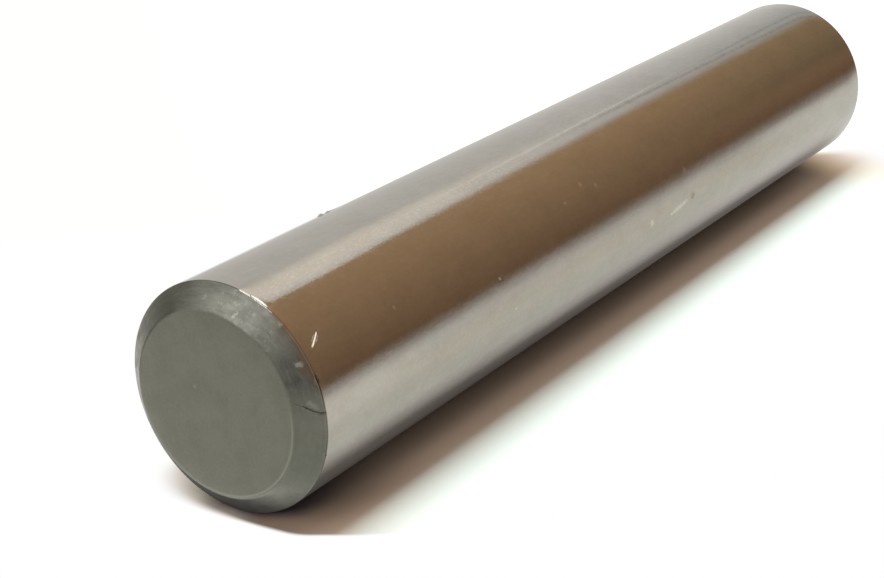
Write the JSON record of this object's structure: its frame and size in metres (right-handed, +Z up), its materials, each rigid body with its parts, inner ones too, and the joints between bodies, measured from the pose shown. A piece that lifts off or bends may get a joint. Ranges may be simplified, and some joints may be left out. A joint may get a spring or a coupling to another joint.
{
  "type": "parallel pin",
  "caption": "Solid round steel pin with a plain shank, a flat end face and a steep chamfer at each end.",
  "frame": {"origin": "centre of the lower end face, on the pin's axis", "axes": "+Z up along the pin's axis, towards the end that faces the camera in the picture; the pin is round, so +X and +Y are free"},
  "size_m": [0.016, 0.016, 0.09],
  "materials": {
    "ground_steel": "ground steel, grey with faint grinding lines, duller on the end faces and chamfers, with small nicks and stains"
  },
  "bodies": {
    "root": {"pin": "ground_steel"}
  },
  "joints": []
}
